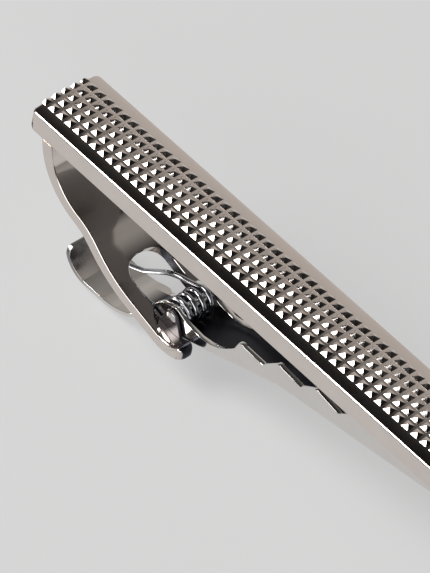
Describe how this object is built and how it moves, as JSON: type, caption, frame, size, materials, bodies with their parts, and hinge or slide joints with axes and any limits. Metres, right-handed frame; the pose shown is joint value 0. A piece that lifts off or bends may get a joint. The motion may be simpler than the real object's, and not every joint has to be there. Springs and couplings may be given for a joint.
{
  "type": "tie clip with a spring jaw",
  "caption": "Polished tie clip: a long bar with a raised pyramid pattern, a curved bracket, and a sprung toothed jaw with a thumb tab.",
  "frame": {"origin": "middle of the front bar's flat back face, which lies against the tie", "axes": "+X along the bar, away from the hinge; +Y across the bar; +Z out of the patterned front"},
  "size_m": [0.054, 0.0066, 0.0142],
  "materials": {
    "gunmetal": "polished plating, slightly warm",
    "chrome": "polished plating",
    "spring_steel": "bright drawn wire",
    "pin_steel": "riveted steel"
  },
  "bodies": {
    "bar": {"front_bar": "gunmetal", "end_bracket": "gunmetal", "hinge_pin": "pin_steel", "torsion_spring": "spring_steel"},
    "jaw": {"clip_jaw": "chrome"}
  },
  "joints": [
    {"name": "jaw_pivot", "type": "hinge", "parent": "bar", "child": "jaw", "pos_m": [-0.0112, 0, -0.0074], "axis": [0, 1, 0], "range_deg": [0, 20], "stiffness_Nm_per_rad": 0.006, "springref_deg": -40.11, "deforming": ["torsion_spring"]}
  ]
}
